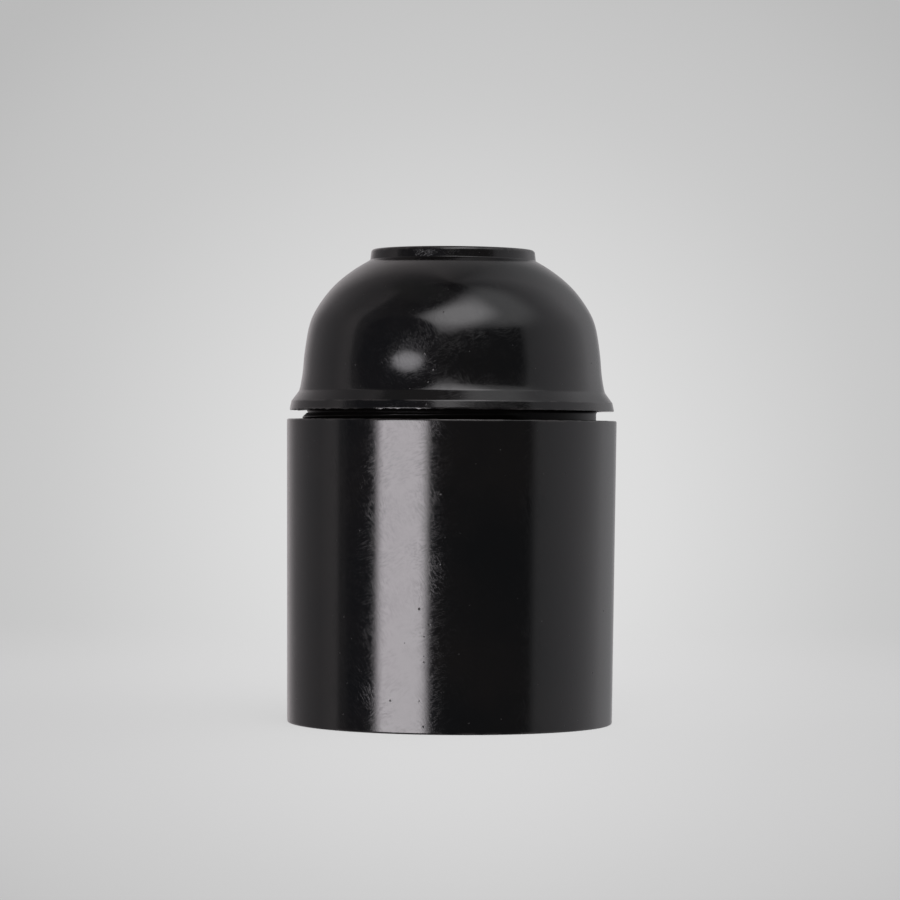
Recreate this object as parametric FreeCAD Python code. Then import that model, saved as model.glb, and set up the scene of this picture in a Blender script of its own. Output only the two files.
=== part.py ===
import FreeCAD, Part
import math
import os

# Lamp holder with a domed cap, a plain skirt and an E27 screw shell, all sizes in millimetres.
# Origin: centre of the mouth, on the plane that the holder stands on. +Z runs up to the pipe entry.

V = FreeCAD.Vector
up = V(0, 0, 1)
origin = V(0, 0, 0)

# Skirt
skirt_wall = 2.5                # outside the joint thread's root, at the skirt's top
skirt_draft_deg = 0.62          # the skirt narrows towards its mouth
skirt_mouth_wall = 2.2
mouth_depth = 24.8              # mouth to the top of the ledge that carries the screw shell
ledge_thickness = 3.0
skirt_cavity_draft_deg = 0.6
skirt_bore_gap = 0.3            # round the insert
skirt_edge_round = 0.2
ledge_fillet = 0.8

# Screw shell, rolled from sheet to the E27 form
sheet = 0.35
lamp_major_radius = 13.35
lamp_arc_radius = 1.025
lamp_pitch = 3.629
crest_flat_depth = 0.08
shell_length = 19.8             # below the ledge's top
shell_lip = 1.6
shell_neck = 2.4
shell_band_relief = 0.05
ledge_gap = 0.25                # shell to the hole in the ledge
key_lug_width = 3.0
key_lug_setback = 0.85          # from the shell out to the lugs that key its flange
key_lug_bite = 0.9              # of the lugs into the flange
key_gap = 0.2
key_root = 0.15                 # of a key inside the wall that carries it

# Joint thread between cap and skirt
joint_pitch = 1.5
joint_step = 0.7                # from the insert out to the thread's root
joint_depth = 0.62
joint_crest_width = 0.34
joint_flank_deg = 30.0
joint_gap = 0.15
joint_lead = 0.5
joint_embed = 0.25              # the ridge's foot inside the neck
joint_floor_drop = 0.4          # the female thread ends below the shoulder
slit = 1.15                     # open gap between the skirt and the rim
neck_length = 6.45              # from the seat on the insert to the rim
neck_wall = 2.0
neck_cove = 0.4
neck_edge = 0.3
thread_end_deg = 300.0          # where the cap's thread runs out, seen from above
thread_end_below_rim = 0.5

# Cap
rim_overhang = 2.17             # out past the neck
rim_face_height = 1.2
rim_draft = 0.27
rim_bevel_out = 0.78
rim_bevel_up = 0.75
rim_edge_round = 0.12
rim_bevel_round = 0.3
waist_step = 0.4                # out past the neck
flare_height = 5.2
crown_height = 13.3             # of the crown's ellipse, above the waist
crown_wall = 2.4
collar_step = 1.25              # out past the boss
collar_draft = 0.15
collar_height = 1.3
collar_round = 0.4
collar_cove = 0.3
boss_wall = 2.3                 # round the bush
boss_depth = 8.2                # from the collar's top to the underside of the boss

# Entry bush, M10 x 1, and the screw that locks the pipe in it
bush_wall = 2.04
bush_recess = 0.4
bush_length = 11.3
bush_edge = 0.3
entry_bore_radius = 4.46
entry_chamfer = 0.6
anchor_reach = 0.9
anchor_height = 1.4
anchor_depth = 4.2              # from the bush's top to the anchor ring
lock_screw_radius = 1.5
lock_screw_length = 5.5
lock_screw_tilt_deg = 45.0
lock_screw_rise = 2.0           # from the bush's lower end to the screw's point
lock_screw_slot = 0.5
lock_screw_slot_depth = 0.8
thread_fit = 0.05

# Insert
insert_overlap = 1.3            # of the insert over the shell's flange
insert_disc_height = 6.25
insert_block_gap = 1.0          # to the cap's neck
terminal_floor_rise = 2.5       # above the shoulder that the cap presses on
barrier_height = 5.6
barrier_thickness = 3.0
pocket_half_length = 8.8
end_wall_height = 3.4
recess_radius = 10.5
recess_depth = 3.85
insert_edge = 0.4
cap_key_width = 3.0
cap_key_depth = 1.3
cap_key_length = 11.0
cap_key_start = 0.6
cap_key_gap = 0.3

# Contacts, bent from strip
leaf = 0.4
leaf_width = 5.0
leaf_slot_gap = 0.5
leaf_bend = 0.6
rivet_place_radius = 7.8
contact_tab = 2.3               # from a rivet to the strip's free end
contact_bend_reach = 3.0        # from a rivet to the first bend
centre_contact_drop = 2.4
centre_tip_half = 1.9
centre_curl_out = 1.2
centre_curl_up = 1.0
side_foot_setback = 0.6         # from the flange's edge
side_foot_length = 2.3
line_side_deg = -45.0
neutral_side_deg = -135.0

# Rivets
rivet_radius = 1.25
rivet_bore_radius = 0.75
rivet_head_radius = 2.1
rivet_head_height = 0.5

# Terminals, M3.5
terminal_plate = 1.2
terminal_inner_x = 2.4
terminal_width = 8.6
terminal_front_y = -8.0
terminal_back_y = 7.0
terminal_corner = 1.2
screw_x = 7.2
screw_y = 2.2
screw_radius = 1.7
screw_length = 6.0
screw_end_chamfer = 0.4
screw_head_radius = 3.0
screw_head_height = 2.4
screw_head_round = 0.3
screw_slot = 1.0
screw_slot_depth = 1.1
screw_hole_depth = 3.7
screw_hole_radius = 2.2
clamp_side = 7.2
clamp_thickness = 0.8
clamp_corner = 1.0
clamp_hole_radius = 1.9
washer_radius = 3.05
washer_bore_radius = 1.85
washer_thickness = 0.8
washer_slit = 0.6

# Radii that follow from the sizes above
shell_radius = lamp_major_radius + shell_band_relief + sheet
ledge_hole_radius = shell_radius + ledge_gap
key_lug_inner_radius = shell_radius + key_lug_setback
flange_radius = key_lug_inner_radius + key_lug_bite
side_foot_outer = flange_radius - side_foot_setback
side_foot_inner = side_foot_outer - side_foot_length
insert_radius = flange_radius + insert_overlap
skirt_bore_radius = insert_radius + skirt_bore_gap
joint_root_radius = insert_radius + joint_step
neck_bore_radius = joint_root_radius - neck_wall
insert_block_radius = neck_bore_radius - insert_block_gap
skirt_top_radius = joint_root_radius + skirt_wall
rim_radius = joint_root_radius + rim_overhang
waist_radius = joint_root_radius + waist_step
bush_radius = entry_bore_radius + bush_wall
anchor_radius = bush_radius + anchor_reach
boss_radius = bush_radius + boss_wall
collar_radius = boss_radius + collar_step

# Heights that follow from the sizes above
ledge_top = mouth_depth
ledge_bottom = ledge_top - ledge_thickness
insert_seat = ledge_top + sheet
shoulder = insert_seat + insert_disc_height
rim_bottom = shoulder + neck_length
skirt_top = rim_bottom - slit
rim_top = rim_bottom + rim_face_height + rim_bevel_up
waist = rim_top + flare_height
cove_radius = collar_radius + collar_cove
cove_height = waist + crown_height * math.sqrt(1 - (cove_radius / waist_radius) ** 2)
crown_slope = crown_height / waist_radius * cove_radius / math.sqrt(waist_radius ** 2 - cove_radius ** 2)
collar_base = cove_height + crown_slope * collar_cove
collar_top = collar_base + collar_height
bush_top = collar_top - bush_recess
bush_bottom = bush_top - bush_length
boss_bottom = collar_top - boss_depth
recess_floor = insert_seat + recess_depth
terminal_floor = shoulder + terminal_floor_rise
plate_top = terminal_floor + terminal_plate
clamp_top = plate_top + clamp_thickness
washer_top = clamp_top + washer_thickness


def path(corners):
    """Edges in the XZ plane along corners (x, z, rounding radius). The first and last stay sharp."""
    edges = []
    start = V(corners[0][0], 0, corners[0][1])
    for i in range(1, len(corners)):
        here = V(corners[i][0], 0, corners[i][1])
        radius = corners[i][2]
        if radius == 0 or i == len(corners) - 1:
            edges.append(Part.makeLine(start, here))
            start = here
            continue
        back = V(corners[i - 1][0], 0, corners[i - 1][1]).sub(here)
        ahead = V(corners[i + 1][0], 0, corners[i + 1][1]).sub(here)
        back.normalize()
        ahead.normalize()
        half = back.getAngle(ahead) / 2
        bisector = back.add(ahead)
        bisector.normalize()
        first = here.add(back * (radius / math.tan(half)))
        middle = here.add(bisector * (radius / math.sin(half) - radius))
        last = here.add(ahead * (radius / math.tan(half)))
        edges.append(Part.makeLine(start, first))
        edges.append(Part.Arc(first, middle, last).toShape())
        start = last
    return edges


def outline(corners):
    """Closed face in the XZ plane, from corners that start at a sharp one."""
    return Part.Face(Part.Wire(path(corners + [corners[0]])))


def turned(corners):
    """Solid of revolution about Z from corners (radius, height, rounding radius)."""
    return outline(corners).revolve(origin, up, 360)


def cylinder(radius, bottom, top, x=0, y=0):
    return Part.makeCylinder(radius, top - bottom, V(x, y, bottom))


def box(x0, x1, y0, y1, z0, z1):
    return Part.makeBox(x1 - x0, y1 - y0, z1 - z0, V(x0, y0, z0))


def rounded_plate(x0, x1, y0, y1, z0, z1, corner):
    """Flat plate with its four upright corners rounded."""
    middle = (x0 + x1) / 2
    corners = [(middle, y0, 0), (x1, y0, corner), (x1, y1, corner), (x0, y1, corner), (x0, y0, corner)]
    plate = outline([(x, -y, radius) for x, y, radius in corners]).extrude(V(0, z1 - z0, 0))
    plate.rotate(origin, V(1, 0, 0), 90)
    plate.translate(V(0, 0, z0))
    return plate


def strip(points, bend, width):
    """Bent strip: its upper side runs along points (x, z), its thickness lies below."""
    upper = [(points[0][0], points[0][1], 0)]
    lower = []
    normals = []
    for i in range(len(points) - 1):
        run = V(points[i + 1][0] - points[i][0], 0, points[i + 1][1] - points[i][1])
        run.normalize()
        normals.append(V(run.z, 0, -run.x) if run.x > 0 else V(-run.z, 0, run.x))
    lower.append((points[0][0] + normals[0].x * leaf, points[0][1] + normals[0].z * leaf, 0))
    for i in range(1, len(points) - 1):
        mitre = normals[i - 1].add(normals[i]) * (leaf / (1 + normals[i - 1].dot(normals[i])))
        ahead = V(points[i + 1][0] - points[i][0], 0, points[i + 1][1] - points[i][1])
        hollow_below = ahead.dot(normals[i - 1]) > 0
        upper.append((points[i][0], points[i][1], bend + leaf if hollow_below else bend))
        lower.append((points[i][0] + mitre.x, points[i][1] + mitre.z, bend if hollow_below else bend + leaf))
    end = points[-1]
    upper.append((end[0], end[1], 0))
    lower.append((end[0] + normals[-1].x * leaf, end[1] + normals[-1].z * leaf, 0))
    shape = outline(upper + lower[::-1]).extrude(V(0, width, 0))
    shape.translate(V(0, -width / 2, 0))
    return shape


def helical_ridge(wire, path_radius, pitch, height, start):
    """Solid swept by a closed wire in the XZ plane that climbs a right-hand helix from that plane."""
    helix = Part.makeHelix(pitch, height, path_radius)
    sweep = Part.BRepOffsetAPI.MakePipeShell(Part.Wire(helix.Edges))
    sweep.setFrenetMode(True)
    sweep.add(wire)
    sweep.build()
    sweep.makeSolid()
    ridge = sweep.shape()
    ridge.translate(V(0, 0, start))
    return ridge


def joint_thread(gap, top):
    """Ridge of the joint thread up to a height. A gap makes the wider ridge that cuts the skirt."""
    slope = math.tan(math.radians(joint_flank_deg))
    spread = gap / math.cos(math.radians(joint_flank_deg))
    inner = joint_root_radius - joint_embed
    crest = joint_root_radius + joint_depth + gap
    half_crest = joint_crest_width / 2 + spread - gap * slope
    half_base = half_crest + slope * (crest - inner)
    corners = [(inner, -half_base, 0), (crest, -half_crest, 0), (crest, half_crest, 0)]
    corners += [(inner, half_base, 0), (inner, -half_base, 0)]
    end_height = rim_bottom - thread_end_below_rim
    height_at_zero = end_height - joint_pitch * thread_end_deg / 360
    turns_down = math.ceil((height_at_zero - shoulder) / joint_pitch + 0.5)
    start = height_at_zero - turns_down * joint_pitch
    return helical_ridge(Part.Wire(path(corners)), joint_root_radius, joint_pitch, top - start, start)


def lamp_rod(grow, bottom, top):
    """Rod of the E27 form: the shell's inner face with grow 0, its outer face with grow of a sheet."""
    outward = lamp_arc_radius + grow
    inward = lamp_arc_radius - grow
    tilt = math.asin(lamp_pitch / (4 * lamp_arc_radius))
    depth = 2 * lamp_arc_radius * (1 - math.cos(tilt))
    crown = lamp_major_radius + grow
    core = crown - depth + crest_flat_depth
    side = crown - outward * (1 - math.cos(tilt))
    rise = outward * math.sin(tilt)
    foot = side + inward * math.cos(tilt)
    foot_rise = rise + inward * math.sin(tilt)
    buried = 0.5 * math.acos(1 - crest_flat_depth / inward)
    flank = []
    for angle in (tilt, (tilt + buried) / 2, buried):
        flank.append((foot - inward * math.cos(angle), foot_rise - inward * math.sin(angle)))
    upper = [V(r, 0, z) for r, z in flank]
    lower = [V(r, 0, -z) for r, z in flank]
    edges = [
        Part.Arc(lower[0], V(crown, 0, 0), upper[0]).toShape(),
        Part.Arc(upper[0], upper[1], upper[2]).toShape(),
        Part.makeLine(upper[2], lower[2]),
        Part.Arc(lower[2], lower[1], lower[0]).toShape(),
    ]
    start = bottom - lamp_pitch
    ridge = helical_ridge(Part.Wire(edges), lamp_major_radius, lamp_pitch, top - bottom + 2 * lamp_pitch, start)
    band = crown + shell_band_relief
    rod = cylinder(core, start - lamp_pitch, top + 2 * lamp_pitch).fuse(ridge)
    rod = rod.common(cylinder(band, bottom, top))
    rod = rod.fuse(cylinder(band, bottom, bottom + shell_lip + grow))
    return rod.fuse(cylinder(band, top - shell_neck - grow, top))


def key_lugs(gap):
    """Two lugs on the ledge that key the shell's flange. A gap makes the notches for them."""
    half = key_lug_width / 2 + gap
    ring = cylinder(skirt_bore_radius + key_root, ledge_top, insert_seat)
    ring = ring.cut(cylinder(key_lug_inner_radius - gap, ledge_top, insert_seat))
    bar = box(-half, half, -skirt_top_radius, skirt_top_radius, ledge_top, insert_seat)
    return bar.common(ring)


def make_skirt():
    """Plain skirt: a tapered tube with the ledge for the screw shell and the female joint thread."""
    mouth_radius = skirt_top_radius - skirt_top * math.tan(math.radians(skirt_draft_deg))
    cavity_mouth = mouth_radius - skirt_mouth_wall
    cavity_top = cavity_mouth - ledge_bottom * math.tan(math.radians(skirt_cavity_draft_deg))
    minor = joint_root_radius + joint_gap
    thread_floor = shoulder - joint_floor_drop
    entry = joint_root_radius + joint_depth
    body = turned([
        (skirt_bore_radius, skirt_top, 0),
        (skirt_bore_radius, ledge_top, 0),
        (ledge_hole_radius, ledge_top, 0),
        (ledge_hole_radius, ledge_bottom, skirt_edge_round),
        (cavity_top, ledge_bottom, ledge_fillet),
        (cavity_mouth, 0, skirt_edge_round),
        (mouth_radius, 0, skirt_edge_round),
        (skirt_top_radius, skirt_top, skirt_edge_round),
    ])
    above = skirt_top + joint_pitch
    tap = cylinder(minor, thread_floor - 2 * joint_pitch, above + joint_pitch)
    tap = tap.fuse(joint_thread(joint_gap, above))
    tap = tap.common(cylinder(skirt_top_radius, thread_floor, above))
    tap = tap.fuse(Part.makeCone(entry, minor, entry - minor, V(0, 0, skirt_top), up * -1))
    return body.cut(tap).fuse(key_lugs(0))


def make_shell():
    """Screw shell: one sheet, rolled to the lamp thread and turned out into a flange that is keyed."""
    bottom = ledge_top - shell_length
    outer = lamp_rod(sheet, bottom, insert_seat)
    shell = outer.fuse(cylinder(flange_radius, ledge_top, insert_seat))
    shell = shell.cut(lamp_rod(0, bottom, insert_seat))
    return shell.cut(key_lugs(key_gap))


def lock_screw_place(distance):
    """Point on the lock screw's slanting axis, at a distance out from its tip, and the axis."""
    tilt = math.radians(lock_screw_tilt_deg)
    axis = V(0, math.cos(tilt), -math.sin(tilt))
    y = entry_bore_radius + thread_fit + lock_screw_radius * math.sin(tilt)
    return V(0, y, bush_bottom + lock_screw_rise).add(axis * distance), axis


def lock_screw_rod(radius, inward):
    """Rod on the lock screw's axis, from its tip, or further in, out into the cap."""
    start, axis = lock_screw_place(-inward)
    return Part.makeCylinder(radius, lock_screw_length + inward, start, axis)


def bush_corners(bore_radius, top):
    """Outline of the bush's outside, closed at a bore radius."""
    anchor_top = bush_top - anchor_depth
    return [
        (bore_radius, bush_bottom, 0),
        (bush_radius - bush_edge, bush_bottom, 0),
        (bush_radius, bush_bottom + bush_edge, 0),
        (bush_radius, anchor_top - anchor_height, 0),
        (anchor_radius, anchor_top - anchor_height, 0),
        (anchor_radius, anchor_top, 0),
        (bush_radius, anchor_top, 0),
        (bush_radius, top, 0),
        (bore_radius, top, 0),
    ]


def make_bush():
    """Steel bush moulded into the cap, with an anchor ring, the pipe bore and the lock screw's hole."""
    corners = bush_corners(entry_bore_radius + entry_chamfer, bush_top)
    corners.append((entry_bore_radius, bush_top - entry_chamfer, 0))
    corners.append((entry_bore_radius, bush_bottom + entry_chamfer, 0))
    bush = turned(corners)
    return bush.cut(lock_screw_rod(lock_screw_radius + thread_fit, lock_screw_radius))


def make_lock_screw():
    """Headless screw with a driver slot, set at a slant so that a driver reaches it from the open end."""
    screw = lock_screw_rod(lock_screw_radius, 0)
    half = lock_screw_slot / 2
    reach = lock_screw_radius * 2
    slot = box(-half, half, -reach, reach, -lock_screw_slot_depth, lock_screw_slot_depth)
    slot.rotate(origin, V(1, 0, 0), -90 - lock_screw_tilt_deg)
    slot.translate(lock_screw_place(lock_screw_length)[0])
    return screw.cut(slot)


def ellipse_arc(radius, height, end_radius):
    """Curve of an upright ellipse about the axis, from its waist up to a smaller radius."""
    steps = 10
    sweep = math.acos(end_radius / radius)
    points = []
    for i in range(steps + 1):
        angle = sweep * i / steps
        points.append(V(radius * math.cos(angle), 0, waist + height * math.sin(angle)))
    last = V(-radius * math.sin(sweep), 0, height * math.cos(sweep))
    curve = Part.BSplineCurve()
    curve.interpolate(Points=points, InitialTangent=up * (height * sweep), FinalTangent=last * sweep)
    return curve.toShape(), points[-1]


def make_cap():
    """Domed cap: threaded neck, rim, flared bell, elliptical crown and collar, hollow inside."""
    rim_top_radius = rim_radius - rim_draft
    bevel_radius = rim_top_radius - rim_bevel_out
    flare_out = bevel_radius - waist_radius
    flare_radius = (flare_height ** 2 + flare_out ** 2) / (2 * flare_out)
    half_turn = math.asin(flare_height / flare_radius) / 2
    flare_x = waist_radius + flare_radius * (1 - math.cos(half_turn))
    flare_middle = V(flare_x, 0, waist - flare_radius * math.sin(half_turn))
    foot = path([
        (0, shoulder, 0),
        (joint_root_radius - neck_edge, shoulder, 0),
        (joint_root_radius, shoulder + neck_edge, 0),
        (joint_root_radius, rim_bottom, neck_cove),
        (rim_radius, rim_bottom, rim_edge_round),
        (rim_top_radius, rim_bottom + rim_face_height, rim_bevel_round),
        (bevel_radius, rim_top, 0),
    ])
    flare = Part.Arc(V(bevel_radius, 0, rim_top), flare_middle, V(waist_radius, 0, waist)).toShape()
    crown, crown_end = ellipse_arc(waist_radius, crown_height, cove_radius)
    collar = path([
        (crown_end.x, crown_end.z, 0),
        (collar_radius, collar_base, collar_cove),
        (collar_radius - collar_draft, collar_top, collar_round),
        (0, collar_top, 0),
        (0, shoulder, 0),
    ])
    cap = Part.Face(Part.Wire(foot + [flare, crown] + collar)).revolve(origin, up, 360)
    cap = cap.fuse(joint_thread(0, rim_bottom - thread_end_below_rim))
    cap = cap.cut(cylinder(rim_radius, shoulder - 2 * joint_pitch, shoulder))
    crest = joint_root_radius + joint_depth
    cap = cap.cut(turned([
        (crest - joint_lead, shoulder - joint_pitch, 0),
        (crest - joint_lead, shoulder, 0),
        (crest + joint_gap, shoulder + joint_lead + joint_gap, 0),
        (rim_radius, shoulder - joint_pitch, 0),
    ]))
    cap = cap.cut(make_cavity())
    cap = cap.cut(turned(bush_corners(0, collar_top)))
    half = cap_key_width / 2
    key = box(-half, half, neck_bore_radius - cap_key_depth, neck_bore_radius + cap_key_depth,
              shoulder + cap_key_start, shoulder + cap_key_start + cap_key_length)
    return cap.fuse(key.common(cylinder(neck_bore_radius + key_root, shoulder, waist)))


def make_cavity():
    """Hollow of the cap, with the boss that holds the entry bush standing in it."""
    inside_boss = boss_radius * 0.75
    roof, roof_end = ellipse_arc(neck_bore_radius, crown_height - crown_wall, inside_boss)
    edges = path([
        (roof_end.x, roof_end.z, 0),
        (0, roof_end.z, 0),
        (0, shoulder, 0),
        (neck_bore_radius, shoulder, 0),
        (neck_bore_radius, waist, 0),
    ])
    hollow = Part.Face(Part.Wire(edges + [roof])).revolve(origin, up, 360)
    return hollow.cut(cylinder(boss_radius, boss_bottom, collar_top))


def rivet_centre(side_deg):
    angle = math.radians(side_deg)
    return V(rivet_place_radius * math.cos(angle), rivet_place_radius * math.sin(angle), 0)


def make_insert():
    """Ceramic insert: disc with a recess below, block with two terminal pockets above."""
    top = terminal_floor + end_wall_height
    body = turned([
        (0, recess_floor, 0),
        (recess_radius, recess_floor, 0),
        (recess_radius, insert_seat, 0),
        (insert_radius, insert_seat, insert_edge),
        (insert_radius, shoulder, 0),
        (insert_block_radius, shoulder, 0),
        (insert_block_radius, top, insert_edge),
        (0, top, 0),
    ])
    half = barrier_thickness / 2
    pocket = pocket_half_length
    body = body.cut(box(half, insert_radius, -pocket, pocket, terminal_floor, top))
    body = body.cut(box(-insert_radius, -half, -pocket, pocket, terminal_floor, top))
    barrier = box(-half, half, -insert_radius, insert_radius, terminal_floor, terminal_floor + barrier_height)
    body = body.fuse(barrier.common(cylinder(insert_block_radius, shoulder, terminal_floor + barrier_height)))
    slot_half = leaf_width / 2 + leaf_slot_gap
    slot = box(recess_radius - leaf_width / 2, side_foot_outer + leaf_slot_gap, -slot_half, slot_half,
               insert_seat, recess_floor)
    slot.rotate(origin, up, neutral_side_deg)
    body = body.cut(slot)
    for side_deg in (line_side_deg, neutral_side_deg):
        place = rivet_centre(side_deg)
        body = body.cut(cylinder(rivet_radius, recess_floor, terminal_floor, place.x, place.y))
    for x in (screw_x, -screw_x):
        hole_floor = terminal_floor - screw_hole_depth
        body = body.cut(cylinder(screw_hole_radius, hole_floor, terminal_floor, x, screw_y))
    half = cap_key_width / 2 + key_gap
    keyway = box(-half, half, neck_bore_radius - cap_key_depth - cap_key_gap, insert_radius,
                 shoulder, terminal_floor + barrier_height)
    return body.cut(keyway)


def placed_leaf(points, side_deg):
    """Leaf contact bent along points that run out along its own radius, with its rivet hole."""
    contact = strip(points, leaf_bend, leaf_width)
    contact.rotate(origin, up, side_deg)
    place = rivet_centre(side_deg)
    return contact.cut(cylinder(rivet_radius, insert_seat, recess_floor, place.x, place.y))


def make_centre_contact():
    tip_height = recess_floor - centre_contact_drop
    return placed_leaf([
        (rivet_place_radius + contact_tab, recess_floor),
        (rivet_place_radius - contact_bend_reach, recess_floor),
        (centre_tip_half, tip_height),
        (-centre_tip_half, tip_height),
        (-centre_tip_half - centre_curl_out, tip_height + centre_curl_up),
    ], line_side_deg)


def make_side_contact():
    return placed_leaf([
        (rivet_place_radius - contact_tab, recess_floor),
        (rivet_place_radius + contact_bend_reach, recess_floor),
        (side_foot_inner, insert_seat + leaf),
        (side_foot_outer, insert_seat + leaf),
    ], neutral_side_deg)


def make_rivet(side_deg):
    """Hollow rivet through terminal plate, insert and contact, with a head at each end."""
    low = recess_floor - leaf
    rivet = turned([
        (rivet_bore_radius, low - rivet_head_height, 0),
        (rivet_head_radius, low - rivet_head_height, rivet_head_height / 2),
        (rivet_head_radius, low, 0),
        (rivet_radius, low, 0),
        (rivet_radius, plate_top, 0),
        (rivet_head_radius, plate_top, 0),
        (rivet_head_radius, plate_top + rivet_head_height, rivet_head_height / 2),
        (rivet_bore_radius, plate_top + rivet_head_height, 0),
    ])
    rivet.translate(rivet_centre(side_deg))
    return rivet


def make_terminal():
    """Brass terminal plate on the line side, with its tapped hole and its rivet hole."""
    plate = rounded_plate(terminal_inner_x, terminal_inner_x + terminal_width, terminal_front_y,
                          terminal_back_y, terminal_floor, plate_top, terminal_corner)
    place = rivet_centre(line_side_deg)
    plate = plate.cut(cylinder(rivet_radius, terminal_floor, plate_top, place.x, place.y))
    return plate.cut(cylinder(screw_radius + thread_fit, terminal_floor, plate_top, screw_x, screw_y))


def make_clamp():
    """Square washer that presses the wire on the terminal plate."""
    half = clamp_side / 2
    plate = rounded_plate(screw_x - half, screw_x + half, screw_y - half, screw_y + half,
                          plate_top, clamp_top, clamp_corner)
    return plate.cut(cylinder(clamp_hole_radius, plate_top, clamp_top, screw_x, screw_y))


def make_spring_washer():
    """Split spring washer, pressed flat under the screw's head."""
    ring = cylinder(washer_radius, clamp_top, washer_top, screw_x, screw_y)
    ring = ring.cut(cylinder(washer_bore_radius, clamp_top, washer_top, screw_x, screw_y))
    half = washer_slit / 2
    gap = box(screw_x - half, screw_x + half, screw_y, screw_y + washer_radius, clamp_top, washer_top)
    return ring.cut(gap)


def make_screw():
    """Cheese-head terminal screw with its slot."""
    tip = washer_top - screw_length
    head_top = washer_top + screw_head_height
    screw = turned([
        (0, tip, 0),
        (screw_radius - screw_end_chamfer, tip, 0),
        (screw_radius, tip + screw_end_chamfer, 0),
        (screw_radius, washer_top, 0),
        (screw_head_radius, washer_top, 0),
        (screw_head_radius, head_top, screw_head_round),
        (0, head_top, 0),
    ])
    half = screw_slot / 2
    reach = screw_head_radius * 2
    screw = screw.cut(box(-reach, reach, -half, half, head_top - screw_slot_depth, head_top + screw_slot_depth))
    screw.translate(V(screw_x, screw_y, 0))
    return screw


def mirrored(shape):
    """The same piece on the neutral side."""
    return shape.mirror(origin, V(1, 0, 0))


def save(name, shape):
    solids = shape.Solids
    solid = solids[0] if len(solids) == 1 else shape
    solid.exportStep("parts/" + name + ".step")
    print(name, len(solids), "solid", "valid" if solid.isValid() else "not valid", round(solid.Volume, 1))


os.makedirs("parts", exist_ok=True)
save("dome_cap", make_cap())
save("entry_bush", make_bush())
save("lock_screw", make_lock_screw())
save("skirt", make_skirt())
save("thread_shell", make_shell())
save("insert_body", make_insert())
save("centre_contact", make_centre_contact())
save("side_contact", make_side_contact())
save("line_rivet", make_rivet(line_side_deg))
save("neutral_rivet", make_rivet(neutral_side_deg))
terminal_makers = {
    "terminal": make_terminal,
    "clamp": make_clamp,
    "spring_washer": make_spring_washer,
    "screw": make_screw,
}
for name, maker in terminal_makers.items():
    piece = maker()
    save("line_" + name, piece)
    save("neutral_" + name, mirrored(piece))
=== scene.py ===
import math

import bpy
import numpy as np
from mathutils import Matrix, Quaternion, Vector


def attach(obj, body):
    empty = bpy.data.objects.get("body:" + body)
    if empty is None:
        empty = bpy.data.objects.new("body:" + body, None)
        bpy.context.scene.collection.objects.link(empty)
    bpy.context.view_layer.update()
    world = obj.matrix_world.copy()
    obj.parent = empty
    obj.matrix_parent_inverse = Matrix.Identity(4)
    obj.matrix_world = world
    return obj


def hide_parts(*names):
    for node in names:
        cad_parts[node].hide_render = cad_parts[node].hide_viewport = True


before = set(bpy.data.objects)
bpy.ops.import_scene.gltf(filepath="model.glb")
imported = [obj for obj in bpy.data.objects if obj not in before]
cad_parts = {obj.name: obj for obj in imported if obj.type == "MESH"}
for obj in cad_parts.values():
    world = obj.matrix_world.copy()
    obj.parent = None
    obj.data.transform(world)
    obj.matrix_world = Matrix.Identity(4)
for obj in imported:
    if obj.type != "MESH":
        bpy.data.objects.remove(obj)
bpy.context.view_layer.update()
mm = 0.001
print("frame loaded:", len(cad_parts), "solids")


# Points (radius, height, dull) along a closed outline in mm. Corners are (radius, height,
# rounding, dull), where dull is 1 on faces that the mould left unpolished. Long straight runs get
# a row near each end, so that smooth shading stays flat on them.
def roundedOutline(corners, arcSteps=7, holdRow=0.12):
    points = []
    count = len(corners)
    corners = [tuple(c) + (0,) * (4 - len(c)) for c in corners]
    longRun = 6 * holdRow
    for i in range(count):
        here = np.array(corners[i][:2], float)
        back = np.array(corners[i - 1][:2], float) - here
        ahead = np.array(corners[(i + 1) % count][:2], float) - here
        radius, dull = corners[i][2:]
        backLength = np.linalg.norm(back)
        aheadLength = np.linalg.norm(ahead)
        back = back / backLength
        ahead = ahead / aheadLength
        reach = 0.0
        arc = [here]
        if radius > 0:
            half = math.acos(max(-1, min(1, float(back @ ahead)))) / 2
            reach = radius / math.tan(half)
            bisector = back + ahead
            centre = here + bisector / np.linalg.norm(bisector) * radius / math.sin(half)
            start = here + back * reach - centre
            end = here + ahead * reach - centre
            turn = math.pi - 2 * half
            arc = []
            for k in range(arcSteps + 1):
                t = k / arcSteps
                leaving, arriving = math.sin((1 - t) * turn), math.sin(t * turn)
                arc.append(centre + (leaving * start + arriving * end) / math.sin(turn))
        if backLength - reach > longRun:
            arc.insert(0, here + back * (reach + holdRow))
        if aheadLength - reach > longRun:
            arc.append(here + ahead * (reach + holdRow))
        points += [(*p, dull) for p in arc]
    return np.array(points)


# How worn each outline point is: 1 on a tight outward corner, 0 on flats and in hollows.
def cornerWear(points, tightRadius=0.45, shortest=0.02):
    before = (points - np.roll(points, 1, 0))[:, :2]
    after = (np.roll(points, -1, 0) - points)[:, :2]
    cross = before[:, 0] * after[:, 1] - before[:, 1] * after[:, 0]
    dot = (before * after).sum(1)
    length = (np.linalg.norm(before, axis=1) + np.linalg.norm(after, axis=1)) / 2
    bend = np.arctan2(cross, dot) / np.maximum(length, shortest)
    return np.clip(bend * tightRadius, 0, 1)


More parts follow.
